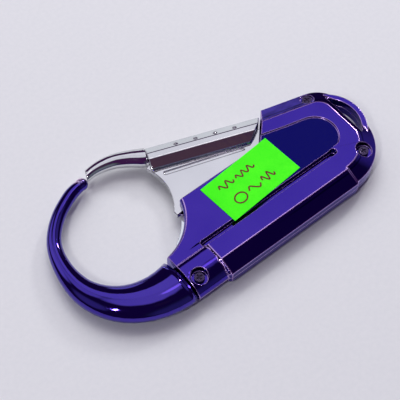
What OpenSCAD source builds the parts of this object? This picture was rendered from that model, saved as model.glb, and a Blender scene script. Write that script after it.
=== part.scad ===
// Carabiner keyring: a flat two-shell spine with a hook arm plugged into one end,
// a sprung gate that closes the hook, and a strap slot at the other end.
// It lies on its back: X along the spine, Y across it towards the gate, Z up.

/* [Body] */
// Thickness of the body over both shells
body_t = 7.0; // [6.6:0.1:9]
// Length from the arm seam to the flat of the strap end
body_len = 62.8; // [58:0.2:76]
// Width of the spine's barrel
barrel_w = 13.5; // [12:0.1:16]
// Width of the barrel's flat top
barrel_flat_w = 5.1; // [3:0.1:7]
// How far the barrel stands out past the necks at its ends
barrel_step = 0.6; // [0.2:0.1:1]
// Length of the round neck between the seam and the barrel
neck_len = 8.9; // [8.5:0.1:10]
// Height of the panel's gate side above the spine's axis
panel_rise = 16.8; // [15.5:0.1:20]
// Height of the shoulder above the panel's gate side
shoulder_rise = 8.1; // [7.2:0.1:10]
// Run of the slanted shoulder face along the spine
shoulder_run = 7.6; // [6:0.1:9]
// Depth of the floor below the rim
floor_drop = 0.4; // [0.2:0.05:0.8]
// Width of the raised rim
rim_w = 3.0; // [2:0.1:4]
// Drop of the sloping sides
bevel_drop = 1.7; // [1:0.1:2.2]
// Run of the sloping sides
bevel_run = 4.2; // [3:0.1:4.6]
// Width of the groove between the floor and the barrel
groove_w = 1.7; // [1:0.1:2.2]
// Depth of that groove
groove_depth = 1.8; // [1:0.1:2]

/* [Hook arm] */
// Diameter of the hole inside the hook
ring_d = 29.5; // [26:0.1:36]
// Width of the arm where it meets the body
arm_root_w = 12.5; // [11:0.1:14]
// Thickness of the arm at its tip
arm_tip_w = 3.4; // [3:0.1:4.2]
// Radius of the ball on the arm's tip
nose_ball_r = 1.6; // [1.5:0.05:1.9]
// Gap between the arm and the body
seam_gap = 0.7; // [0.3:0.05:1]

/* [Gate] */
// Slope of the closed gate against the spine
gate_slope = 20.4; // [18:0.2:24]
// Width of the gate's bar
bar_w = 6.4; // [5:0.1:7]
// Thickness of the gate's bar
bar_t = 5.8; // [4.8:0.1:6.4]
// Length of the bar from the pivot to its collar
bar_len = 32.4; // [30:0.1:36]
// Distance of the bar's axis outside the pivot
bar_offset = 0.9; // [0.5:0.1:1.5]
// Thickness of the plate that slides between the shells
web_t = 1.5; // [1.2:0.1:1.8]
// Pitch of the grip studs
stud_pitch = 5.1; // [4:0.1:6]
// Number of grip studs
stud_count = 4; // [3:1:5]
// Radius of a grip stud
stud_r = 0.45; // [0.3:0.05:0.6]

/* [Inside] */
// Space left above and below the sliding plate
web_clearance = 0.2; // [0.15:0.05:0.3]
// Diameter of the pivot pin
pin_d = 1.8; // [1.4:0.1:2.4]
// Radius of the gate's hub around the pin
hub_r = 2.6; // [2.2:0.1:3]
// Running clearance of the hub on its pin
pin_clearance = 0.06; // [0.02:0.01:0.1]
// Gap that moving pieces keep from fixed ones
move_gap = 0.35; // [0.3:0.05:0.5]
// Wire diameter of the gate spring
wire_d = 0.36; // [0.3:0.02:0.4]

/* [Screws] */
// Diameter of the well over a screw
well_d = 4.1; // [3.6:0.1:4.6]
// Depth of the wells
well_depth = 1.3; // [1:0.1:1.5]
// Diameter of a screw's head
head_d = 2.5; // [2.2:0.1:3]
// Height of a screw's head
head_t = 0.7; // [0.5:0.05:0.9]
// Diameter of a screw's shank
shank_d = 1.4; // [1.2:0.1:1.6]

/* [Strap slot] */
// Length of the strap slot
slot_len = 13.5; // [12:0.1:15]
// Width of the strap slot at its widest
slot_w = 3.3; // [2.6:0.1:3.6]
// Width of the bow outside the slot
bow_w = 1.4; // [1.2:0.1:2.4]
// Thickness of the bow
bow_t = 4.6; // [3.6:0.1:5.4]

/* [Label] */
// Length of the price label
label_len = 22; // [18:0.5:26]
// Height of the price label
label_h = 12; // [9:0.5:12]

/* [Hidden] */
$fn = 48;
eps = 0.02;
cut = 60;                                   // Half size of a cutting block

// Levels: the back lies on Z = 0 and the shells meet at mid_z
mid_z = body_t / 2;
slot_t = web_t + 2 * web_clearance;         // Room between the shells
slot_z = mid_z - slot_t / 2;
side_z = body_t - bevel_drop;               // Top of the upright side

// Plan, measured from the middle of the hook's hole and from the spine's axis
ring_r = ring_d / 2;
neck_r = arm_root_w / 2;
ring_c = [0, neck_r + ring_r];
seam_x = 1.8;
neck_end = seam_x + neck_len;
strap_x = seam_x + body_len;
panel_y = panel_rise;
shoulder_y = panel_y + shoulder_rise;
barrel_r = barrel_w / 2;
base_y = barrel_r - barrel_step;
crease_y = barrel_flat_w / 2 + 0.05;        // Where the panel meets the round neck
low_r = 13.6;                               // Lower corner of the strap end
low_c = [strap_x - low_r + 0.5, low_r - base_y];
high_r = 7.8;                               // Upper corner of the strap end
high_c = [strap_x - high_r, panel_y - 2.6];
barrel_end = low_c[0] + 0.3;
foot_x = strap_x - 25.3;                    // Foot of the shoulder face
top_x = foot_x + shoulder_run;

// Gate: its pivot, and the panel wall it opens towards
pivot = [foot_x + 6.7, panel_y + 2.2];
gate_open = 16.5;                           // A little more than the gate turns
tip_gap = 0.08;                             // Between the nose and the arm's ball
web_tip = [11.8, 14.4];                     // Lower corner of the sliding plate
web_arc_c = [2.6, 24.4];
web_arc_r = 12.65;
pin_r = pin_d / 2;

pin_wall = 0.4;                             // Left over each end of the pin

// Spring: its pocket in the front shell, over the hub
pocket_r = hub_r - 0.3;
coil_turns = 3;
pocket_h = (coil_turns + 1) * (wire_d + 0.04) + 0.1;

// Screws
well_r = well_d / 2;
shank_r = shank_d / 2;
arm_screw_at = [seam_x + 3.1, -2.6];
strap_screw_at = [low_c[0] + 6.9, -0.55];
shoulder_screw_at = [high_c[0] + 1.0, high_c[1] + 5.6];
seat_z = body_t - 0.6 - well_depth;         // Under a screw's head
shank_end = 0.9;

// Hook arm: [angle about the hole, inner edge outside the hole's radius, half width]
arm_tip_r = arm_tip_w / 2;
hook_stations = [
    [274, 0.0, neck_r],
    [250, 1.1, neck_r * 0.86],
    [230, 1.8, neck_r * 0.71],
    [210, 1.8, neck_r * 0.54],
    [195, 1.2, neck_r * 0.43],
    [180, 0.6, neck_r * 0.35],
    [160, 0.0, arm_tip_r * 1.08],
    [140, -0.9, arm_tip_r * 1.02],
    [120, -1.4, arm_tip_r],
    [105, -1.2, arm_tip_r * 0.97],
    [92.2, -0.9, arm_tip_r * 0.86]
];
// Gate nose: [share of the way from the collar to the arm's ball, height over the
// straight line between them, radius]
nose_shape = [
    [-0.116, 1.2, 2.3],
    [0.046, 1.84, 2.5],
    [0.231, 2.81, 2.25],
    [0.439, 3.5, 1.95],
    [0.647, 3.3, 1.7],
    [0.809, 2.54, 1.45],
    [0.948, 1.35, 1.3]
];

// ---------- curves ----------

function mix4(a, b, c, d, t) =
    0.5 * ((2 * b) + (c - a) * t + (2 * a - 5 * b + 4 * c - d) * t * t
    + (3 * b - a - 3 * c + d) * t * t * t);

// Smooth run through a list of stations, with steps pieces between neighbours
function smooth(list, steps) = [
    for (i = [0 : len(list) - 2])
        for (k = [0 : (i == len(list) - 2 ? steps : steps - 1)])
            mix4(list[max(i - 1, 0)], list[i], list[i + 1], list[min(i + 2, len(list) - 1)], k / steps)
];

function arc(c, r, a0, a1, n) = [
    for (i = [0 : n]) let (a = a0 + (a1 - a0) * i / n) c + r * [cos(a), sin(a)]
];

// Thickness that follows the width while it is small and levels off at the body's
function half_thick(w, limit) = pow(pow(1 / w, 3) + pow(1 / limit, 3), -1 / 3);

arm_line = [
    for (s = smooth(hook_stations, 4))
        let (r = ring_r + s[1] + s[2])
        [ring_c[0] + r * cos(s[0]), ring_c[1] + r * sin(s[0]), s[2]]
];

function turn_in_plan(p, a) = [p[0] * cos(a) - p[1] * sin(a), p[0] * sin(a) + p[1] * cos(a)];
function gate_point(p) = pivot + turn_in_plan(p, -gate_slope);

arm_end = arm_line[len(arm_line) - 1];
ball_at = turn_in_plan([arm_end[0], arm_end[1]] - pivot, gate_slope);
nose_run = -ball_at[0] - bar_len;
nose_stations = [
    for (s = nose_shape)
        [-bar_len - s[0] * nose_run, bar_offset * (1 - s[0]) + ball_at[1] * s[0] + s[1], s[2]]
];
nose_line = smooth(nose_stations, 5);
// The gate's nose ends on a circle round the pivot that clears the arm's ball
tip_reach = norm([arm_end[0], arm_end[1]] - pivot) - nose_ball_r - tip_gap;

// Origin: the middle of the outline's box
function out_left() = min([for (p = arm_line) p[0] - p[2]]);
function out_top() = max([for (p = nose_line) gate_point([p[0], p[1]])[1] + p[2]]);
slot_r = (slot_len * slot_len / 4 + slot_w * slot_w) / (2 * slot_w);
bow_r = slot_r + bow_w;
bow_c = [strap_x + 1.8 - bow_r, low_c[1] + 3.0];
mid_x = (out_left() + bow_c[0] + bow_r) / 2;
mid_y = (out_top() - barrel_r) / 2;

module place() translate([-mid_x, -mid_y, 0]) children();
module at_gate() place() translate([pivot[0], pivot[1], mid_z]) rotate([0, 0, -gate_slope]) children();

// ---------- shared solids ----------

// Tube of oval section along a flat line of [x, y, half width]
module flat_tube(line, limit, sides = 28) {
    n = len(line);
    rings = [
        for (i = [0 : n - 1])
            let (
                a = line[max(i - 1, 0)],
                b = line[min(i + 1, n - 1)],
                d = [b[0] - a[0], b[1] - a[1]] / norm([b[0] - a[0], b[1] - a[1]]),
                w = line[i][2],
                h = half_thick(w, limit)
            )
            [for (k = [0 : sides - 1])
                let (t = 360 * k / sides)
                [line[i][0] - d[1] * w * cos(t), line[i][1] + d[0] * w * cos(t), h * sin(t)]]
    ];
    polyhedron(
        points = [for (r = rings) each r],
        faces = concat(
            [[for (k = [0 : sides - 1]) k]],
            [for (i = [0 : n - 2]) for (k = [0 : sides - 1])
                [i * sides + k, (i + 1) * sides + k, (i + 1) * sides + (k + 1) % sides, i * sides + (k + 1) % sides]],
            [[for (k = [sides - 1 : -1 : 0]) (n - 1) * sides + k]]
        ),
        convexity = 4
    );
}

// Corner i of an outline moved inwards by the leg of each edge that meets there
function inset_corner(pts, legs, i) =
    let (
        n = len(pts),
        p = pts[i],
        d0 = (p - pts[(i + n - 1) % n]) / norm(p - pts[(i + n - 1) % n]),
        d1 = (pts[(i + 1) % n] - p) / norm(pts[(i + 1) % n] - p),
        n0 = [-d0[1], d0[0]],
        n1 = [-d1[1], d1[0]],
        l0 = legs[(i + n - 1) % n],
        l1 = legs[i],
        k = n0[0] * n1[1] - n0[1] * n1[0]
    )
    abs(k) < 0.001 ? p + n0 * l0 : p + [l0 * n1[1] - l1 * n0[1], l1 * n0[0] - l0 * n1[0]] / k;

// Plate with an upright side and a sloping one, whose run each edge sets
module sloped_plate(pts, legs, z0, z1, z2) {
    n = len(pts);
    top = [for (i = [0 : n - 1]) inset_corner(pts, legs, i)];
    polyhedron(
        points = concat(
            [for (p = pts) [p[0], p[1], z0]],
            [for (p = pts) [p[0], p[1], z1]],
            [for (p = top) [p[0], p[1], z2]]
        ),
        faces = concat(
            [[for (i = [0 : n - 1]) i]],
            [for (k = [0, 1]) for (i = [0 : n - 1])
                [k * n + i, (k + 1) * n + i, (k + 1) * n + (i + 1) % n, k * n + (i + 1) % n]],
            [[for (i = [n : -1 : 1]) 2 * n + i % n]]
        ),
        convexity = 4
    );
}

module at_xy(p, z = 0) translate([p[0], p[1], z]) children();

// ---------- body ----------

strap_arc = concat(
    arc(low_c, low_r, -90, -14, 12),
    arc(high_c, high_r, 0, 74, 8)
);
// Every other corner can be seen from the first one, the foot of the shoulder
body_pts = concat(
    [[foot_x, panel_y], [seam_x + seam_gap / 2, panel_y],
     [seam_x + seam_gap / 2, crease_y], [neck_end + 1, crease_y], [neck_end + 1, -base_y]],
    strap_arc,
    [[top_x, shoulder_y]]
);
edge_r = 0.5;                               // Slope run of the sides that stand nearly upright
end_run = 0.8;                              // Chamfer along the barrel's ends
end_shrink = 0.9;
body_legs = concat(
    [edge_r, 0, 0, 0],
    [for (i = [0 : len(strap_arc)]) bevel_run],
    [edge_r]
);

// Half the barrel's section as seen along the spine, shrunk by k
function barrel_half(k) = [
    [barrel_r * k, 0], [barrel_r * k, (side_z - mid_z) * k], [barrel_flat_w / 2 * k, mid_z * k],
    [-barrel_flat_w / 2 * k, mid_z * k], [-barrel_r * k, (side_z - mid_z) * k], [-barrel_r * k, 0]
];

// Barrel along the spine with a flat top, sloping sides and chamfered ends
module barrel() {
    xs = [neck_end, neck_end + end_run, barrel_end - end_run, barrel_end];
    ks = [end_shrink, 1, 1, end_shrink];
    n = 6;
    translate([0, 0, mid_z])
        polyhedron(
            points = [for (i = [0 : 3]) for (p = barrel_half(ks[i])) [xs[i], p[0], p[1]]],
            faces = concat(
                [[for (k = [0 : n - 1]) k]],
                [for (i = [0 : 2]) for (k = [0 : n - 1])
                    [i * n + k, (i + 1) * n + k, (i + 1) * n + (k + 1) % n, i * n + (k + 1) % n]],
                [[for (k = [n - 1 : -1 : 0]) 3 * n + k]]
            )
        );
}

// Round neck that carries on the line of the hook arm
module neck() {
    w = neck_r - 0.05;
    h = mid_z - 0.1;
    steps = 32;
    translate([seam_x + seam_gap / 2, 0, mid_z])
        rotate([90, 0, 90])
            linear_extrude(height = neck_len)
                polygon([for (k = [0 : steps]) let (t = 180 * k / steps) [w * cos(t), h * sin(t)]]);
}

// Bow outside the strap slot
module bow() {
    half = slot_len / 2 + bow_w - 0.2;
    at_xy(bow_c, mid_z)
        intersection() {
            cylinder(r = bow_r, h = bow_t / 2, $fn = 120);
            translate([0, -half, 0]) cube([cut, 2 * half, cut]);
        }
}

// Inside edge of the rim: the floor lies within it
module floor_cut() {
    inner = bevel_run + rim_w;
    floor_r = 5.8;
    translate([0, 0, body_t - floor_drop])
        linear_extrude(height = 2)
            polygon(concat(
                [[-2, crease_y - 0.1], [neck_end - 0.3, crease_y - 0.1], [neck_end - 0.3, barrel_flat_w / 2 + groove_w],
                 [barrel_end - 1, barrel_flat_w / 2 + groove_w]],
                arc([strap_x - inner - floor_r, panel_y - 7.2], floor_r, -58, 74, 14),
                [[foot_x + 8.2, panel_y - 0.2], [foot_x + 2.6, panel_y + 1.4],
                 [foot_x + 0.4, panel_y + 2.6], [foot_x - 1.4, panel_y + 6], [-2, panel_y + 6]]
            ));
}

module groove_cut() {
    y0 = barrel_flat_w / 2;
    x0 = neck_end - 0.2;
    translate([x0 + groove_w / 2, y0 + groove_w / 2, body_t - groove_depth]) {
        cylinder(r = groove_w / 2, h = cut);
        translate([0, -groove_w / 2, 0]) cube([barrel_end - x0 - groove_w / 2, groove_w, cut]);
        translate([barrel_end - x0 - groove_w / 2, 0, 0]) cylinder(r = groove_w / 2, h = cut);
    }
}

// Hole of the hook, with the rounded edge that the body shows to it
module ring_cut() {
    edge = 1.6;
    at_xy(ring_c) {
        translate([0, 0, -1]) cylinder(r = ring_r + 0.25, h = body_t + 2, $fn = 96);
        rotate_extrude($fn = 96)
            difference() {
                translate([ring_r, body_t - edge]) square([edge + 0.25, edge + 1]);
                translate([ring_r + 0.25 + edge, body_t - edge]) circle(r = edge);
            }
    }
}

// Room between the shells for the plate, the core and the arm's tongue
module chamber() {
    wall = 1.55;
    translate([0, 0, slot_z])
        linear_extrude(height = slot_t)
            polygon(concat(
                [[seam_x - 1, -4.7], [low_c[0] + 1.5, -4.7]],
                arc(low_c, low_r - wall, -80, -28, 6),
                [[strap_x - 4.1, low_c[1] - 3]],
                [[strap_x - 4.1, high_c[1] + 2.6]],
                arc(high_c, high_r - wall, 42, 74, 4),
                [[pivot[0] + 4, pivot[1] + 3.2], [pivot[0] - 0.6, pivot[1] + 3.2],
                 [pivot[0] - 5.6, pivot[1] + 8.2], [foot_x, panel_y + 13], [6.4, panel_y + 13], [6.4, 4.0],
                 [neck_end - 1.2, 4.0], [neck_end - 1.2, 3.7], [seam_x - 1, 3.7]]
            ));
}

module strap_cut() {
    at_xy(bow_c, -1)
        intersection() {
            cylinder(r = slot_r, h = body_t + 2, $fn = 120);
            translate([slot_r - slot_w, -cut / 2, 0]) cube([cut, cut, cut]);
        }
}

module screw_holes(top, bottom) {
    for (p = [arm_screw_at, strap_screw_at, shoulder_screw_at])
        at_xy(p, bottom) cylinder(r = shank_r + eps, h = top - bottom);
}

module half_body() {
    difference() {
        union() {
            difference() {
                sloped_plate(body_pts, body_legs, mid_z, side_z, body_t);
                ring_cut();
                floor_cut();
            }
            barrel();
            neck();
            bow();
        }
        groove_cut();
        strap_cut();
        chamber();
    }
}

module front_shell() {
    color("rebeccapurple")
        place()
            difference() {
                half_body();
                for (p = [arm_screw_at, strap_screw_at])
                    at_xy(p, seat_z) cylinder(r = well_r, h = cut);
                at_xy(shoulder_screw_at, seat_z) cylinder(r = well_r - 0.35, h = cut);
                screw_holes(seat_z + 1, mid_z);
                at_xy(pivot, mid_z) cylinder(r = pin_r + eps, h = mid_z - pin_wall);
                at_xy(pivot, mid_z) cylinder(r = pocket_r, h = slot_t / 2 + pocket_h);
            }
}

module rear_shell() {
    color("indigo")
        place()
            difference() {
                translate([0, 0, body_t]) mirror([0, 0, 1]) half_body();
                screw_holes(mid_z + 1, shank_end - 0.1);
                at_xy(pivot, pin_wall) cylinder(r = pin_r + eps, h = mid_z);
            }
}

// ---------- core plate ----------

core_edge = ring_r - 0.4;
module core_plate() {
    reach = norm(web_tip - pivot) + move_gap;
    color("gainsboro")
        place()
            difference() {
                union() {
                    translate([neck_end - 1.0, -4.5, slot_z]) cube([low_c[0] + 2 - neck_end, 8.3, slot_t]);
                    translate([0, 0, slot_z])
                        linear_extrude(height = slot_t)
                            polygon(concat(
                                [[low_c[0], -4.5]],
                                arc(low_c, low_r - 1.8, -78, -28, 6),
                                [[strap_x - 4.3, low_c[1] - 3], [strap_x - 4.3, high_c[1] + 2.4]],
                                arc(high_c, high_r - 1.8, 44, 72, 4),
                                [[pivot[0] + 4.2, pivot[1] + 2.8], [pivot[0] + 4.2, 6], [low_c[0] - 4, 3.8]]
                            ));
                    intersection() {
                        translate([0, 0, slot_z])
                            linear_extrude(height = slot_t)
                                polygon([
                                    [6.6, 4.05], [neck_end - 1, 4.05], [neck_end - 1, 3.6],
                                    [12.6, 3.6], [12.6, 13.5], [6.6, 13.5]
                                ]);
                        difference() {
                            at_xy(ring_c, slot_z) cylinder(r = core_edge + 12, h = slot_t, $fn = 96);
                            at_xy(pivot, slot_z - 1) cylinder(r = reach, h = slot_t + 2, $fn = 160);
                        }
                    }
                }
                at_xy(ring_c, slot_z - 1) cylinder(r = core_edge, h = slot_t + 2, $fn = 96);
                screw_holes(body_t, 0);
            }
}

// ---------- hook arm ----------

module hook_arm() {
    color("rebeccapurple")
        place()
            difference() {
                union() {
                    difference() {
                        translate([0, 0, mid_z]) flat_tube(arm_line, mid_z);
                        translate([seam_x - seam_gap / 2, -cut / 2, -cut / 2]) cube([cut, 1.2 * cut, cut]);
                    }
                    translate([arm_end[0], arm_end[1], mid_z]) sphere(r = nose_ball_r);
                    translate([seam_x - seam_gap / 2 - 2, -4.5, slot_z]) cube([neck_len - 0.7, 8.0, slot_t]);
                }
                screw_holes(body_t, 0);
            }
}

// ---------- gate ----------

bar_slope_run = 2.4;
bar_slope_drop = 1.2;

module bar_section() {
    w = bar_w / 2;
    h = bar_t / 2;
    polygon([
        [-w, -h + bar_slope_drop], [-w + bar_slope_run, -h], [w - bar_slope_run, -h], [w, -h + bar_slope_drop],
        [w, h - bar_slope_drop], [w - bar_slope_run, h], [-w + bar_slope_run, h], [-w, h - bar_slope_drop]
    ]);
}

// Plate that slides between the shells, in the body's plan
module web() {
    hub_low = pivot[1] - hub_r;
    difference() {
        at_xy([0, 0], mid_z - web_t / 2)
            linear_extrude(height = web_t)
                polygon([
                    web_tip, [pivot[0], hub_low], [pivot[0], pivot[1] + 1.5],
                    gate_point([-bar_len + 1, bar_offset]), [web_tip[0] - 2, 28], [web_tip[0], web_tip[1] + 1.2]
                ]);
        difference() {
            at_xy([0, 0], 0) translate([-5, 0, 0]) cube([web_arc_c[0] + web_arc_r + 8, 34, body_t]);
            at_xy(web_arc_c, -1) difference() {
                translate([-cut, -cut, 0]) cube([2 * cut, 2 * cut, body_t + 2]);
                cylinder(r = web_arc_r, h = body_t + 2, $fn = 120);
            }
        }
    }
}

// All that lies off the shoulder's face with the gate turned by a
module off_shoulder(a) {
    rotate([0, 0, gate_slope - a])
        translate([foot_x - pivot[0] - 1.4 * move_gap, panel_y - pivot[1], 0])
            rotate([0, 0, atan2(shoulder_rise, shoulder_run)])
                translate([-cut, 0, -cut]) cube([2 * cut, cut, 2 * cut]);
}

module gate() {
    color("silver")
        difference() {
            union() {
                at_gate()
                    intersection() {
                        rotate([90, 0, 90])
                            translate([bar_offset, 0, -bar_len])
                                linear_extrude(height = bar_len) bar_section();
                        // The end beside the shoulder clears it, shut and open
                        off_shoulder(0);
                        off_shoulder(gate_open);
                    }
                place() web();
                at_gate() translate([0, 0, -web_t / 2]) cylinder(r = hub_r, h = web_t);
                at_gate()
                    for (i = [0 : stud_count - 1])
                        translate([-9.4 - i * stud_pitch, bar_offset + bar_w / 2 - 1.6, bar_t / 2 - 0.5])
                            sphere(r = stud_r);
            }
            // Shallow groove along the plate
            place()
                at_xy([16.7, 25.4], mid_z + web_t / 2 - 0.35)
                    rotate([0, 0, -18.3]) cube([21, 0.9, web_t]);
            at_gate() translate([0, 0, -web_t]) cylinder(r = pin_r + pin_clearance, h = 2 * web_t);
            at_gate() translate([-bar_len - 1, bar_offset + 0.6, 0]) rotate([0, 90, 0]) cylinder(r = 1.5 + eps, h = 5);
        }
}

module gate_nose() {
    color("lightgray")
        at_gate() {
            // The end clears the arm's tip all the way round the pivot
            intersection() {
                flat_tube(nose_line, 2.6);
                translate([0, 0, -5]) cylinder(r = tip_reach, h = 10, $fn = 200);
                translate([-cut - bar_len, -cut / 2, -cut / 2]) cube(cut);
            }
            translate([-bar_len - 0.5, bar_offset + 0.6, 0]) rotate([0, 90, 0]) cylinder(r = 1.5, h = 4);
        }
}

// ---------- pivot, spring, screws, label ----------

module pivot_pin() {
    color("dimgray") place() at_xy(pivot, pin_wall) cylinder(r = pin_r, h = body_t - 2 * pin_wall);
}

// Torsion spring round the pin, over the hub
coil_r = pocket_r - wire_d / 2 - 0.15;
coil_steps = 18;
coil_rise = (wire_d + 0.04) / coil_steps;
coil_base = slot_t / 2 + wire_d / 2 + 0.04;
spring_line = concat(
    [[coil_r, 0, web_t / 2 + 0.06], [coil_r, 0, coil_base - 0.12]],
    [for (i = [1 : coil_turns * coil_steps])
        let (a = 360 * i / coil_steps)
        [coil_r * cos(a), coil_r * sin(a), coil_base + i * coil_rise]]
);

module wire(line, r, sides = 8) {
    n = len(line);
    rings = [
        for (i = [0 : n - 1])
            let (
                d0 = line[min(i + 1, n - 1)] - line[max(i - 1, 0)],
                d = d0 / norm(d0),
                u0 = cross(d, [line[i][0], line[i][1], 0]),
                u = u0 / norm(u0),
                v = cross(d, u)
            )
            [for (k = [0 : sides - 1]) let (t = 360 * k / sides) line[i] + r * (cos(t) * u + sin(t) * v)]
    ];
    polyhedron(
        points = [for (r = rings) each r],
        faces = concat(
            [[for (k = [sides - 1 : -1 : 0]) k]],
            [for (i = [0 : n - 2]) for (k = [0 : sides - 1])
                [i * sides + k, i * sides + (k + 1) % sides, (i + 1) * sides + (k + 1) % sides, (i + 1) * sides + k]],
            [[for (k = [0 : sides - 1]) (n - 1) * sides + k]]
        )
    );
}

module gate_spring() {
    color("darkgray") at_gate() wire(spring_line, wire_d / 2);
}

// Screw with a flat head and a cross recess
module screw(p) {
    color("dimgray")
        place()
            at_xy(p, seat_z)
                difference() {
                    union() {
                        cylinder(r = head_d / 2, h = head_t);
                        translate([0, 0, shank_end - seat_z]) cylinder(r = shank_r, h = seat_z - shank_end + eps);
                    }
                    for (a = [0, 90])
                        rotate([0, 0, a])
                            translate([-head_d * 0.3, -head_d * 0.07, head_t - 0.35])
                                cube([head_d * 0.6, head_d * 0.14, 1]);
                }
}

module arm_screw() screw(arm_screw_at);
module strap_screw() screw(strap_screw_at);
module shoulder_screw() screw(shoulder_screw_at);

module price_label() {
    label_t = 0.12;
    color("lime")
        place()
            translate([foot_x - 8.2, (panel_y + barrel_flat_w / 2 + groove_w) / 2 - 0.3, body_t - floor_drop])
                rotate([0, 0, 4.5])
                    translate([-label_len / 2, -label_h / 2, 0])
                        cube([label_len, label_h, label_t]);
}

front_shell();
rear_shell();
core_plate();
hook_arm();
gate();
gate_nose();
pivot_pin();
gate_spring();
arm_screw();
strap_screw();
shoulder_screw();
price_label();
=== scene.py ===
# %% [markdown]
# # A carabiner keyring
# The clip lies on its back: X runs along its body, Y across it towards the gate, and
# Z up out of its face. The frame holds every solid at its real size, in metres. This
# lesson gives each solid the rounded edges and the finish that the real piece has.

# %% Load the frame
import math

import bpy
from mathutils import Matrix, Vector
from mathutils.bvhtree import BVHTree


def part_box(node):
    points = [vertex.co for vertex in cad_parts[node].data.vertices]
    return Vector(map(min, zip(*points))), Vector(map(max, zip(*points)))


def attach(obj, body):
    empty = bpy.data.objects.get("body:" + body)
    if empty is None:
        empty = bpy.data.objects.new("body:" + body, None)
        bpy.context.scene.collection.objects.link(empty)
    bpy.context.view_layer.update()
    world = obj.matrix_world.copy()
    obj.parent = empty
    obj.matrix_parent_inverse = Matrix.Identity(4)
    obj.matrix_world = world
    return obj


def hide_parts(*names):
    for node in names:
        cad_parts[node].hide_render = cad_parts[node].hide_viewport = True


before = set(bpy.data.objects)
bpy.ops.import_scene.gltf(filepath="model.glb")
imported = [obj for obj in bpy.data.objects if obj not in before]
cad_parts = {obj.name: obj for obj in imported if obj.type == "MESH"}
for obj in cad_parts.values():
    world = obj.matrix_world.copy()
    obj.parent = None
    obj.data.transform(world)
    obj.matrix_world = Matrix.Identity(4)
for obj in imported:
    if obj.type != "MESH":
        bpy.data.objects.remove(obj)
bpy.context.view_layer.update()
MM = 0.001          # one millimetre, in the metres that the frame is in
print("nodes:", sorted(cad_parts))

# %% [markdown]
# Operators act on all that is selected, so one helper selects a single object. A second
# helper moves between object mode and edit mode with everything or nothing selected.

# %% Small helpers
def only(obj):
    """Selects one object and makes it active."""
    if bpy.context.mode != "OBJECT":
        bpy.ops.object.mode_set(mode="OBJECT")
    bpy.ops.object.select_all(action="DESELECT")
    obj.select_set(True)
    bpy.context.view_layer.objects.active = obj
    return obj


def edit_all(obj, work):
    """Runs work() in edit mode with the whole mesh selected."""
    only(obj)
    bpy.ops.object.mode_set(mode="EDIT")
    bpy.ops.mesh.select_all(action="SELECT")
    work()
    bpy.ops.object.mode_set(mode="OBJECT")


def apply_modifier(obj, kind, **settings):
    """Adds one modifier with its settings and applies it."""
    only(obj)
    mod = obj.modifiers.new(kind.lower(), kind)
    for key, value in settings.items():
        setattr(mod, key, value)
    bpy.ops.object.modifier_apply(modifier=mod.name)


# %% [markdown]
# Colours are written as the hex values a screen shows. Shaders work in linear light, so
# one function turns them. A second function adds a shader node with its settings and
# its links, so that each material reads as a short list.

# %% Colour and node helpers
def colour(hex_code, alpha=1.0):
    """sRGB hex to linear RGBA."""
    parts = [int(hex_code[i:i + 2], 16) / 255 for i in (0, 2, 4)]
    linear = [c / 12.92 if c <= 0.04045 else ((c + 0.055) / 1.055) ** 2.4 for c in parts]
    return (*linear, alpha)


def node(tree, kind, links=None, **settings):
    """Adds a node. links maps an input to a value, or to another node's output."""
    made = tree.nodes.new(kind)
    for key, value in settings.items():
        setattr(made, key, value)
    for key, value in (links or {}).items():
        if isinstance(value, bpy.types.NodeSocket):
            tree.links.new(value, made.inputs[key])
        else:
            made.inputs[key].default_value = value
    return made


def new_material(name, **shader):
    """A material with one Principled shader whose constant values are set on its sockets."""
    mat = bpy.data.materials.new(name)
    mat.use_nodes = True
    tree = mat.node_tree
    tree.nodes.clear()
    bsdf = node(tree, "ShaderNodeBsdfPrincipled")
    for key, value in shader.items():
        bsdf.inputs[key.replace("_", " ")].default_value = value
    out = node(tree, "ShaderNodeOutputMaterial", {"Surface": bsdf.outputs["BSDF"]})
    place = node(tree, "ShaderNodeTexCoord").outputs["Object"]
    return mat, tree, bsdf, place


# %% [markdown]
# ## The camera
# It looks down at the clip from 58 degrees above the table, with a long lens, so the
# far side is only a little smaller than the near side.

# %% Camera
TARGET = Vector((-4.974, -3.125, 6.72)) * MM
CAMERA_AT = TARGET + Vector((-100.0, -123.5, 254.4)) * MM
camera_data = bpy.data.cameras.new("camera")
camera_data.lens = 113.1
camera_data.sensor_width = 36.0
camera = bpy.data.objects.new("camera", camera_data)
bpy.context.scene.collection.objects.link(camera)
camera.location = CAMERA_AT
camera.rotation_euler = (TARGET - CAMERA_AT).to_track_quat("-Z", "Y").to_euler()
bpy.context.scene.camera = camera
bpy.context.scene.view_settings.view_transform = "Standard"
print("camera is", round((TARGET - CAMERA_AT).length * 1000), "mm from the clip")

# %% [markdown]
# ## The table and the light
# A plain pale table carries the clip. Mirror-bright plastic shows the room more than
# its own colour, so the sky holds soft light cards: a wide one beyond the clip, which
# its flat faces mirror, and small ones that draw thin lights along its edges. The rest
# of the room is dark, which gives the near facets their deep tone. A soft lamp lights
# the table and the label.

# %% Table
TABLE_WIDE = 4.0    # metres, far wider than any view
TABLE_GAP = 0.02 * MM    # just under the clip's back, so that the two faces don't share a plane

bpy.ops.object.select_all(action="DESELECT")
bpy.ops.mesh.primitive_plane_add(size=TABLE_WIDE, location=(0, 0, -TABLE_GAP))
table = bpy.context.object
table.name = "table"
table_finish, tree, bsdf, place = new_material("painted_table", Roughness=0.75)
grain = node(tree, "ShaderNodeTexNoise", {"Vector": place, "Scale": 900.0, "Detail": 3.0})
shade = node(tree, "ShaderNodeMix", {
    "Factor": grain.outputs["Fac"], "A": colour("dfe1e4"), "B": colour("e8e9eb")}, data_type="RGBA")
tree.links.new(shade.outputs["Result"], bsdf.inputs["Base Color"])
table.data.materials.append(table_finish)
print("table", TABLE_WIDE, "m wide")

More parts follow.
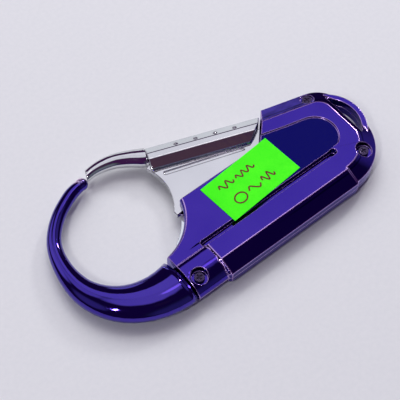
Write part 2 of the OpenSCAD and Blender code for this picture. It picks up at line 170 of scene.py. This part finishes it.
# %% [markdown]
# The sky is one shader. Each card is a round patch whose strength falls off with the
# angle from its middle. Where two cards meet, the brighter one is shown, so that they
# never add up. A card is written as where it is, the angle in degrees of its even
# middle and of its outer edge, its strength and its tint.

# %% Sky with light cards
world = bpy.data.worlds.new("studio")
bpy.context.scene.world = world
world.use_nodes = True
sky = world.node_tree
sky.nodes.clear()
look = node(sky, "ShaderNodeTexCoord").outputs["Generated"]


def card(toward, inner, outer, strength, tint):
    """A round soft card of light on the sky, as a colour."""
    toward = Vector(toward).normalized()
    near = node(sky, "ShaderNodeVectorMath", {0: look, 1: toward}, operation="DOT_PRODUCT")
    edge = node(sky, "ShaderNodeMapRange", {
        "Value": near.outputs["Value"], "From Min": math.cos(math.radians(outer)),
        "From Max": math.cos(math.radians(inner)), "To Max": strength}, interpolation_type="SMOOTHSTEP")
    return node(sky, "ShaderNodeVectorMath", {0: colour(tint)[:3], "Scale": edge.outputs["Result"]},
                operation="SCALE").outputs["Vector"]


CARDS = [
    ((0.33, 0.43, 0.84), 12, 15, 1.05, "f4f2ff"),      # the wide one, which the flats mirror
    ((0.08, 0.10, 0.99), 11, 19, 0.95, "f4f2ff"),      # overhead
    ((0.50, 0.86, 0.10), 6, 10, 0.95, "f4f6ff"),       # low, for the far side of the gate
    ((-0.35, 0.78, 0.52), 14, 22, 1.05, "f6f4ff"),     # behind, for the nose and the arm
    ((-0.10, 0.50, 0.86), 9, 15, 0.90, "f4f2ff"),      # behind and high
    ((-0.80, 0.10, 0.60), 10, 26, 0.36, "e6e2ff"),     # left
    ((0.78, 0.05, 0.62), 10, 24, 0.40, "e6e2ff"),      # right
    ((0.24, 0.11, 0.97), 2.0, 4.5, 2.6, "fff0fa"),     # a row of three small bright ones,
    ((0.34, 0.11, 0.93), 2.0, 4.5, 2.6, "fff0fa"),     # which the rounded ridge of the
    ((0.43, 0.11, 0.90), 2.0, 4.5, 2.6, "fff0fa"),     # barrel mirrors as a thin line
    ((0.03, -0.41, 0.91), 0.5, 9, 0.13, "d8a090"),     # faint and warm, for the gate's near side
    ((0.10, -0.95, 0.30), 12, 40, 0.22, "dfe6ff"),     # faint, from the front
]
DARK_ROOM = (0.055, 0.012, 0.075)    # a faint magenta, as linear light

total = card(*CARDS[0])
for light in [card(*each) for each in CARDS[1:]] + [DARK_ROOM]:
    brighter = node(sky, "ShaderNodeVectorMath", {0: total, 1: light}, operation="MAXIMUM")
    total = brighter.outputs["Vector"]
shine = node(sky, "ShaderNodeBackground", {"Color": total, "Strength": 1.0})
node(sky, "ShaderNodeOutputWorld", {"Surface": shine.outputs["Background"]})
print("cards on the sky:", len(CARDS))

# %% [markdown]
# Real lamps throw the soft shadow on the table. The large one is hidden from glossy
# faces, because they mirror the cards instead. The two narrow ones show as small
# highlights on the round arm.

# %% Lamps
def lamp(name, toward, distance, size, power, mirrored):
    """A soft lamp aimed at the clip: distance and size in metres, power in watts.
    mirrored says whether glossy faces show it."""
    data = bpy.data.lights.new(name, "AREA")
    data.shape = "RECTANGLE"
    data.size, data.size_y = size
    data.energy = power
    obj = bpy.data.objects.new(name, data)
    bpy.context.scene.collection.objects.link(obj)
    obj.location = Vector(toward).normalized() * distance
    obj.rotation_euler = (-obj.location).to_track_quat("-Z", "Y").to_euler()
    obj.visible_glossy = mirrored
    print(name, power, "W")


lamp("soft_key", (0.30, 0.55, 0.80), 0.9, (0.7, 0.7), 5.0, False)
lamp("left_strip", (-0.57, -0.23, 0.79), 0.6, (0.03, 0.09), 0.6, True)
lamp("right_strip", (0.77, 0.29, 0.57), 0.6, (0.02, 0.10), 0.6, True)

# %% [markdown]
# ## Metallised ABS under purple lacquer
# The shells and the hook arm are ABS. A thin film of aluminium is laid on in a vacuum,
# and a purple lacquer over it colours what the film mirrors. The eye sees a mirror with
# a deep tint: pale violet where it shows the light, almost black where it shows the
# room. The lacquer has a faint orange peel a few millimetres wide, fine hairlines from
# pockets and keys, and specks of dust.

# %% A mirror film
# Pattern scales are repeats in a metre
DRIFT = 90.0                            # the tint drifts over 11 mm
DUST_CELLS = 420.0                      # cells 2.4 mm wide
HAIRLINES = (9000.0, 260.0, 900.0)      # 0.11 mm apart, coarser than real ones so that they show
PEEL_DEEP = 0.12 * MM


def film(mat_name, tint, deep, rough, coat, peel_mm, peel, dust):
    """A mirror film: its tint, the deeper tint it drifts to, roughness, clear coat, the
    width and strength of its orange peel, and the share of cells with a speck of dust."""
    mat, tree, bsdf, place = new_material(mat_name, Metallic=1.0, Coat_Weight=coat,
                                          Coat_Roughness=0.03)
    drift = node(tree, "ShaderNodeTexNoise", {"Vector": place, "Scale": DRIFT, "Detail": 2.0})
    body = node(tree, "ShaderNodeMix", {
        "Factor": drift.outputs["Fac"], "A": colour(tint), "B": colour(deep)}, data_type="RGBA")
    # Dust: pale specks about 0.2 mm wide
    spread = node(tree, "ShaderNodeTexVoronoi", {"Vector": place, "Scale": DUST_CELLS})
    speck = node(tree, "ShaderNodeMapRange", {
        "Value": spread.outputs["Distance"], "From Min": 0.030, "From Max": 0.055,
        "To Min": 1.0, "To Max": 0.0})
    some = node(tree, "ShaderNodeMath", {0: spread.outputs["Color"], 1: 1.0 - dust},
                operation="GREATER_THAN")
    dots = node(tree, "ShaderNodeMath", {0: speck.outputs["Result"], 1: some.outputs["Value"]},
                operation="MULTIPLY")
    skin = node(tree, "ShaderNodeMix", {
        "Factor": dots.outputs["Value"], "A": body.outputs["Result"], "B": colour("b9a6dc")},
        data_type="RGBA")
    tree.links.new(skin.outputs["Result"], bsdf.inputs["Base Color"])
    # Hairlines: noise stretched along one way
    turned = node(tree, "ShaderNodeMapping", {
        "Vector": place, "Rotation": (0.2, 0.1, 0.9), "Scale": HAIRLINES})
    lines = node(tree, "ShaderNodeTexNoise", {
        "Vector": turned.outputs["Vector"], "Scale": 1.0, "Detail": 2.0})
    worn = node(tree, "ShaderNodeMapRange", {
        "Value": lines.outputs["Fac"], "From Min": 0.62, "From Max": 0.80,
        "To Min": rough, "To Max": rough + 0.16})
    tree.links.new(worn.outputs["Result"], bsdf.inputs["Roughness"])
    # Orange peel
    peeled = node(tree, "ShaderNodeTexNoise", {
        "Vector": place, "Scale": 1000.0 / peel_mm, "Detail": 1.5})
    bump = node(tree, "ShaderNodeBump", {
        "Height": peeled.outputs["Fac"], "Strength": peel, "Distance": PEEL_DEEP})
    tree.links.new(bump.outputs["Normal"], bsdf.inputs["Normal"])
    print(mat_name)
    return mat, tree, bsdf, place


# %% [markdown]
# The lacquer's tint is not even everywhere: two tints are painted over it. On the sunk
# floor beyond the label the tint is near navy, a painted dark reflection of the room that
# the floor mirrors. At the arm's ball it is near white and rougher, a painted highlight.
# Both are a mask from the place on the piece, and a second tint laid over the first.

# %% Tints laid over the film
def lay_over(tree, bsdf, mask, tint):
    """Mixes a second tint over the present base colour where mask is 1."""
    under = bsdf.inputs["Base Color"].links[0].from_socket
    mix = node(tree, "ShaderNodeMix", {"Factor": mask, "A": under, "B": colour(tint)},
               data_type="RGBA")
    tree.links.new(mix.outputs["Result"], bsdf.inputs["Base Color"])


def paint_dark_floor_reflection(tree, bsdf, place, level_mm, from_mm, to_mm, tint):
    """Paints a dark reflection as a deeper tint on the sunk floor at one level, more towards its far
    end along X.
    """
    spot = node(tree, "ShaderNodeSeparateXYZ", {"Vector": place})
    far = node(tree, "ShaderNodeMapRange", {
        "Value": spot.outputs["X"], "From Min": from_mm * MM, "From Max": to_mm * MM},
        interpolation_type="SMOOTHSTEP")
    level = node(tree, "ShaderNodeMath", {0: spot.outputs["Z"], 1: level_mm * MM, 2: 0.06 * MM},
                 operation="COMPARE")
    mask = node(tree, "ShaderNodeMath", {0: far.outputs["Result"], 1: level.outputs["Value"]},
                operation="MULTIPLY")
    lay_over(tree, bsdf, mask.outputs["Value"], tint)


def paint_tip_highlight(tree, bsdf, place, centre, radius_mm, tint, matt):
    """Paints a highlight as a near-white tint round one point, at the ball where the nose strikes, and
    makes the finish rougher there.
    """
    away = node(tree, "ShaderNodeVectorMath", {0: place, 1: centre}, operation="DISTANCE")
    near = node(tree, "ShaderNodeMapRange", {
        "Value": away.outputs["Value"], "From Min": radius_mm * MM, "From Max": 0.5 * radius_mm * MM},
        interpolation_type="SMOOTHSTEP").outputs["Result"]
    lay_over(tree, bsdf, near, tint)
    smooth = bsdf.inputs["Roughness"].links[0].from_socket
    rougher = node(tree, "ShaderNodeMath", {0: near, 1: matt, 2: smooth}, operation="MULTIPLY_ADD")
    tree.links.new(rougher.outputs["Value"], bsdf.inputs["Roughness"])


# %% [markdown]
# Five films come from that one recipe. The shells and the arm have the purple lacquer,
# and a paler, rougher one is for the shells' rounded edges: its pale tint is a painted
# highlight, so that the edges show thin lines of light. The plate between the shells has a
# clear lacquer. The gate is cast in zinc and plated with bright chrome, which needs no lacquer.

# %% The five films
PURPLE, PURPLE_DEEP = "4430a0", "362494"

shell_film, tree, bsdf, place = film("purple_lacquered_film_on_abs", PURPLE, PURPLE_DEEP,
                                     rough=0.06, coat=0.12, peel_mm=3.0, peel=0.25, dust=0.10)
# The navy tint on the sunk floor is painted shade: the dark room that the floor mirrors, laid into its
# colour.
paint_dark_floor_reflection(tree, bsdf, place, level_mm=6.6, from_mm=3.0, to_mm=15.0, tint="04035c")
arm_film, tree, bsdf, place = film("purple_lacquered_film_on_arm", PURPLE, PURPLE_DEEP,
                                   rough=0.06, coat=0.35, peel_mm=3.0, peel=0.25, dust=0.10)
tip = max((v.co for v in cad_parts["hook_arm"].data.vertices), key=lambda c: c.y)
# The near-white tint at the arm's ball is a painted highlight, and the finish there is rougher.
paint_tip_highlight(tree, bsdf, place, tip, radius_mm=2.8, tint="ffe6ff", matt=0.4)
# The pale tint of the rounded edges is a painted highlight, which draws thin lines of light along them.
# These edges are also rougher.
edge_highlight_film, *_ = film("purple_film_with_painted_edge_highlight", "cdb0ea", "a884d6",
                     rough=0.22, coat=0.2, peel_mm=3.0, peel=0.25, dust=0.10)
bright_film, *_ = film("clear_lacquered_film_on_abs", "e0e6ea", "ced6dc",
                       rough=0.09, coat=0.3, peel_mm=2.4, peel=0.22, dust=0.04)
chrome_plate, *_ = film("bright_chrome_on_zinc", "dcdedf", "c6c8ca",
                        rough=0.08, coat=0.0, peel_mm=1.6, peel=0.28, dust=0.03)

# %% [markdown]
# ## Rounded edges
# A moulded or cast edge is never sharp: a radius of 0.1 to 0.2 mm catches a thin line of
# light, and those lines are most of what makes the piece look real. Each solid's mesh
# is copied, its loose triangles are merged, its flat faces are joined, and a bevel
# rounds what is left. Weighted normals keep the flats flat.

# %% Corners that stray
def recall_strays(obj, source, limit_mm):
    """Where short edges meet, a bevel can throw a corner out. Such corners go back to the
    solid's own face, and nothing stays outside the solid's own box."""
    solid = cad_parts[source].data
    faces = BVHTree.FromPolygons([v.co for v in solid.vertices],
                                 [p.vertices[:] for p in solid.polygons])
    low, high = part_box(source)
    strays = 0
    for v in obj.data.vertices:
        spot, _, _, gap = faces.find_nearest(v.co)
        if gap > limit_mm * MM:
            v.co = spot
            strays += 1
        v.co = [min(max(c, a), b) for c, a, b in zip(v.co, low, high)]
    return strays


# %% Finishing a solid
def finished(source, name, body, mat, edge_mm, flat=True, sharp=24, segments=3,
             edge_mat=None):
    """Copies a solid, rounds its edges by edge_mm and gives it its finish. Edges that turn
    more than sharp degrees are rounded, and edge_mat is the finish of the rounded edges."""
    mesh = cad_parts[source].data.copy()
    mesh.materials.clear()
    for finish in (mat, edge_mat) if edge_mat else (mat,):
        mesh.materials.append(finish)
    obj = bpy.data.objects.new(name, mesh)
    bpy.context.scene.collection.objects.link(obj)
    edit_all(obj, lambda: bpy.ops.mesh.remove_doubles(threshold=2e-6))
    if flat:
        edit_all(obj, lambda: bpy.ops.mesh.dissolve_limited(angle_limit=math.radians(0.6)))
    strays = 0
    if edge_mm:
        apply_modifier(obj, "BEVEL", width=edge_mm * MM, segments=segments, limit_method="ANGLE",
                       angle_limit=math.radians(sharp), use_clamp_overlap=False,
                       miter_outer="MITER_ARC", loop_slide=False, material=1 if edge_mat else -1)
        strays = recall_strays(obj, source, edge_mm)
    only(obj)
    bpy.ops.object.shade_smooth_by_angle(angle=math.radians(38))
    if edge_mm:
        apply_modifier(obj, "WEIGHTED_NORMAL", weight=80, keep_sharp=True)
    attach(obj, body)
    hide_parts(source)
    print(name, len(obj.data.polygons), "faces,", strays, "corners recalled")


# %% [markdown]
# The shells have a ridge of only 22 degrees along the barrel, so their limit for a sharp
# edge is lower. The arm and the nose are round all over and get no bevel.

# %% Shells, plate, arm and gate
for side in ("front", "rear"):
    finished(side + "_shell", side + "_shell_moulding", "body", shell_film,
             edge_mm=0.16, sharp=20, edge_mat=edge_highlight_film)
finished("core_plate", "core_plate_moulding", "body", bright_film, edge_mm=0.08)
finished("hook_arm", "hook_arm_moulding", "body", arm_film, edge_mm=0.0,
         flat=False)
finished("gate", "gate_casting", "gate", chrome_plate, edge_mm=0.22, sharp=20)
finished("gate_nose", "gate_nose_casting", "gate", chrome_plate, edge_mm=0.0,
         flat=False)

# %% [markdown]
# ## Screws, pin and spring
# The three screws are small cross-head screws, hardened and blackened in hot oxide. The
# pin is plain turned steel, and the spring is drawn wire. Black oxide is a thin dark
# skin over steel: it stays metal to the eye, only much darker.

# %% Steel finishes
MARKS = 900.0       # turning marks, 0.35 mm apart, coarser than real ones so that they show
SPOTS = 2400.0      # grain 0.4 mm wide


def steel(mat_name, light, dark, rough):
    """Bare or blackened steel with turning marks and a fine grain."""
    mat, tree, bsdf, place = new_material(mat_name, Metallic=1.0)
    marks = node(tree, "ShaderNodeTexWave", {
        "Vector": place, "Scale": MARKS, "Distortion": 2.0, "Detail": 2.0})
    mix = node(tree, "ShaderNodeMix", {
        "Factor": marks.outputs["Fac"], "A": colour(dark), "B": colour(light)}, data_type="RGBA")
    spots = node(tree, "ShaderNodeTexNoise", {"Vector": place, "Scale": SPOTS, "Detail": 3.0})
    matt = node(tree, "ShaderNodeMapRange", {
        "Value": spots.outputs["Fac"], "To Min": rough, "To Max": rough + 0.2})
    tree.links.new(mix.outputs["Result"], bsdf.inputs["Base Color"])
    tree.links.new(matt.outputs["Result"], bsdf.inputs["Roughness"])
    bump = node(tree, "ShaderNodeBump", {
        "Height": spots.outputs["Fac"], "Strength": 0.3, "Distance": 0.03 * MM})
    tree.links.new(bump.outputs["Normal"], bsdf.inputs["Normal"])
    print(mat_name)
    return mat


black_oxide = steel("black_oxide_on_steel", "5c5070", "2c2440", 0.24)
turned_steel = steel("turned_steel", "a8a8ac", "8c8c92", 0.22)
spring_wire = steel("drawn_spring_wire", "9a9aa2", "7c7c86", 0.25)

# %% Screws, pin and spring
for name in ("arm_screw", "strap_screw", "shoulder_screw"):
    finished(name, name + "_with_cross", "body", black_oxide, edge_mm=0.06, sharp=40,
             segments=2)
finished("pivot_pin", "pivot_pin_turned", "body", turned_steel, edge_mm=0.08, sharp=40,
         segments=2)
finished("gate_spring", "gate_spring_wire", "body", spring_wire, edge_mm=0.0,
         flat=False)

# %% [markdown]
# ## The price label
# A price gun sticks on a small paper label, printed a fluorescent green. It is 22 by
# 12 mm and a tenth of a millimetre thick. The paper is a grid that is bent a little
# where its corners have begun to lift, and then given its thickness. Fluorescent ink
# sends back more green than falls on it, so the colour is near full strength.

# %% Label paper
LABEL_LONG, LABEL_HIGH, LABEL_TURN = 22 * MM, 12 * MM, math.radians(4.5)
PAPER_THICK = 0.10 * MM
CORNER_LIFT = 0.16 * MM
WAVINESS = 0.012 * MM
low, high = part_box("price_label")
LABEL = (low + high) / 2


def on_label(height):
    """The place and turn of the label, at a height above the bottom of its solid."""
    place_it = Matrix.Translation((LABEL.x, LABEL.y, low.z + height))
    return place_it @ Matrix.Rotation(LABEL_TURN, 4, "Z")


bpy.ops.object.select_all(action="DESELECT")
bpy.ops.mesh.primitive_grid_add(x_subdivisions=44, y_subdivisions=24, size=1.0, location=(0, 0, 0))
label = bpy.context.object
label.name = "price_label_paper"
edit_all(label, lambda: bpy.ops.transform.resize(value=(LABEL_LONG, LABEL_HIGH, 1.0)))
for v in label.data.vertices:
    u, w = abs(v.co.x) / (LABEL_LONG / 2), abs(v.co.y) / (LABEL_HIGH / 2)
    corner = max(0.0, u + w - 1.55)
    v.co.z = CORNER_LIFT * corner ** 2 + WAVINESS * math.sin(v.co.x * 900) * math.cos(v.co.y * 700)
apply_modifier(label, "SOLIDIFY", thickness=PAPER_THICK, offset=1.0)
apply_modifier(label, "BEVEL", width=0.02 * MM, segments=1, limit_method="ANGLE")
label.data.transform(on_label(0.02 * MM))
only(label)
bpy.ops.object.shade_smooth_by_angle(angle=math.radians(30))
print("label", len(label.data.polygons), "faces")

# %% [markdown]
# The paper is matt, with a fibre grain of 0.4 mm that shades its green a little. The
# small glow stands for the fluorescence.

# %% Label finish
green_paper, tree, bsdf, place = new_material(
    "fluorescent_green_paper", Roughness=0.62, Specular_IOR_Level=0.25,
    Emission_Color=colour("20ff00"), Emission_Strength=0.16)
fibre = node(tree, "ShaderNodeTexNoise", {"Vector": place, "Scale": 2600.0, "Detail": 4.0})
cloudy = node(tree, "ShaderNodeTexNoise", {"Vector": place, "Scale": 160.0, "Detail": 2.0})
both = node(tree, "ShaderNodeMath", {0: fibre.outputs["Fac"], 1: cloudy.outputs["Fac"]},
            operation="MULTIPLY")
green = node(tree, "ShaderNodeMapRange", {
    "Value": both.outputs["Value"], "From Min": 0.12, "From Max": 0.40})
paper = node(tree, "ShaderNodeMix", {
    "Factor": green.outputs["Result"], "A": colour("3fe812"), "B": colour("52fb1c")},
    data_type="RGBA")
tree.links.new(paper.outputs["Result"], bsdf.inputs["Base Color"])
tooth = node(tree, "ShaderNodeBump", {
    "Height": fibre.outputs["Fac"], "Strength": 0.35, "Distance": 0.04 * MM})
tree.links.new(tooth.outputs["Normal"], bsdf.inputs["Normal"])
label.data.materials.append(green_paper)
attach(label, "body")
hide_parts("price_label")
print("label finished in", green_paper.name)

# %% [markdown]
# ## Pen strokes on the label
# Someone has scribbled on the label with a red-brown ballpoint. Plain loops and waves
# stand for the marks: they say nothing. Each stroke is a thin curve pressed flat, and
# the ink pools a little, so it is darker than a printed line.

# %% One stroke
INK_FLAT = 0.08     # a stroke's round section is pressed to this share of its height


def stroke(points, width_mm):
    """One pen stroke through points in millimetres on the label, as a flat mesh."""
    data = bpy.data.curves.new("stroke", "CURVE")
    data.dimensions = "3D"
    data.bevel_depth = width_mm / 2 * MM
    data.bevel_resolution = 2
    data.resolution_u = 6
    data.use_fill_caps = True
    line = data.splines.new("NURBS")
    line.points.add(len(points) - 1)
    line.use_endpoint_u = True
    line.order_u = 3
    for p, (x, y) in zip(line.points, points):
        p.co = (x * MM, y * MM, 0.0, 1.0)
    obj = bpy.data.objects.new("stroke", data)
    bpy.context.scene.collection.objects.link(obj)
    only(obj)
    bpy.ops.object.convert(target="MESH")
    obj.data.transform(Matrix.Diagonal((1, 1, INK_FLAT, 1)))
    return obj


# %% Shapes of the strokes
LOOP_STEPS = 16


def loop(cx, cy, rx, ry, start, turns):
    """An oval about a point, from the start angle round by a number of turns."""
    angles = [start + 2 * math.pi * k / LOOP_STEPS for k in range(int(LOOP_STEPS * turns) + 1)]
    return [(cx + rx * math.cos(a), cy + ry * math.sin(a)) for a in angles]


def wave(x0, x1, y, high, bumps):
    """A wave from x0 to x1 that swells and shrinks a little."""
    steps = 8 * bumps
    return [(x0 + (x1 - x0) * k / steps,
             y + high * math.sin(2 * math.pi * bumps * k / steps) * (0.75 + 0.25 * math.cos(0.7 * k)))
            for k in range(steps + 1)]


STROKES = [
    wave(-7.6, -3.2, 2.7, 1.2, 2),
    wave(-2.4, 3.4, 2.4, 1.0, 3),
    loop(-5.4, -2.3, 1.7, 1.4, 0.8, 1.1),
    wave(-2.6, 1.0, -2.4, 1.3, 1),
    wave(1.8, 5.6, -2.4, 1.4, 2),
]
PEN_WIDE_MM = 0.42
INK_HEIGHT = 0.135 * MM     # on top of the paper

made = [stroke(points, PEN_WIDE_MM) for points in STROKES]
bpy.ops.object.select_all(action="DESELECT")
for part in made:
    part.select_set(True)
bpy.context.view_layer.objects.active = made[0]
bpy.ops.object.join()
scribble = bpy.context.object
scribble.name = "pen_scribble"
scribble.data.transform(on_label(INK_HEIGHT))
print("strokes:", len(STROKES))

# %% Ink
ballpoint, tree, bsdf, place = new_material("red_brown_ballpoint_ink", Roughness=0.35)
pool = node(tree, "ShaderNodeTexNoise", {"Vector": place, "Scale": 1500.0, "Detail": 2.0})
ink = node(tree, "ShaderNodeMix", {
    "Factor": pool.outputs["Fac"], "A": colour("4e1c06"), "B": colour("78340c")}, data_type="RGBA")
tree.links.new(ink.outputs["Result"], bsdf.inputs["Base Color"])
scribble.data.materials.append(ballpoint)
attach(scribble, "body")
print("ink:", ballpoint.name)
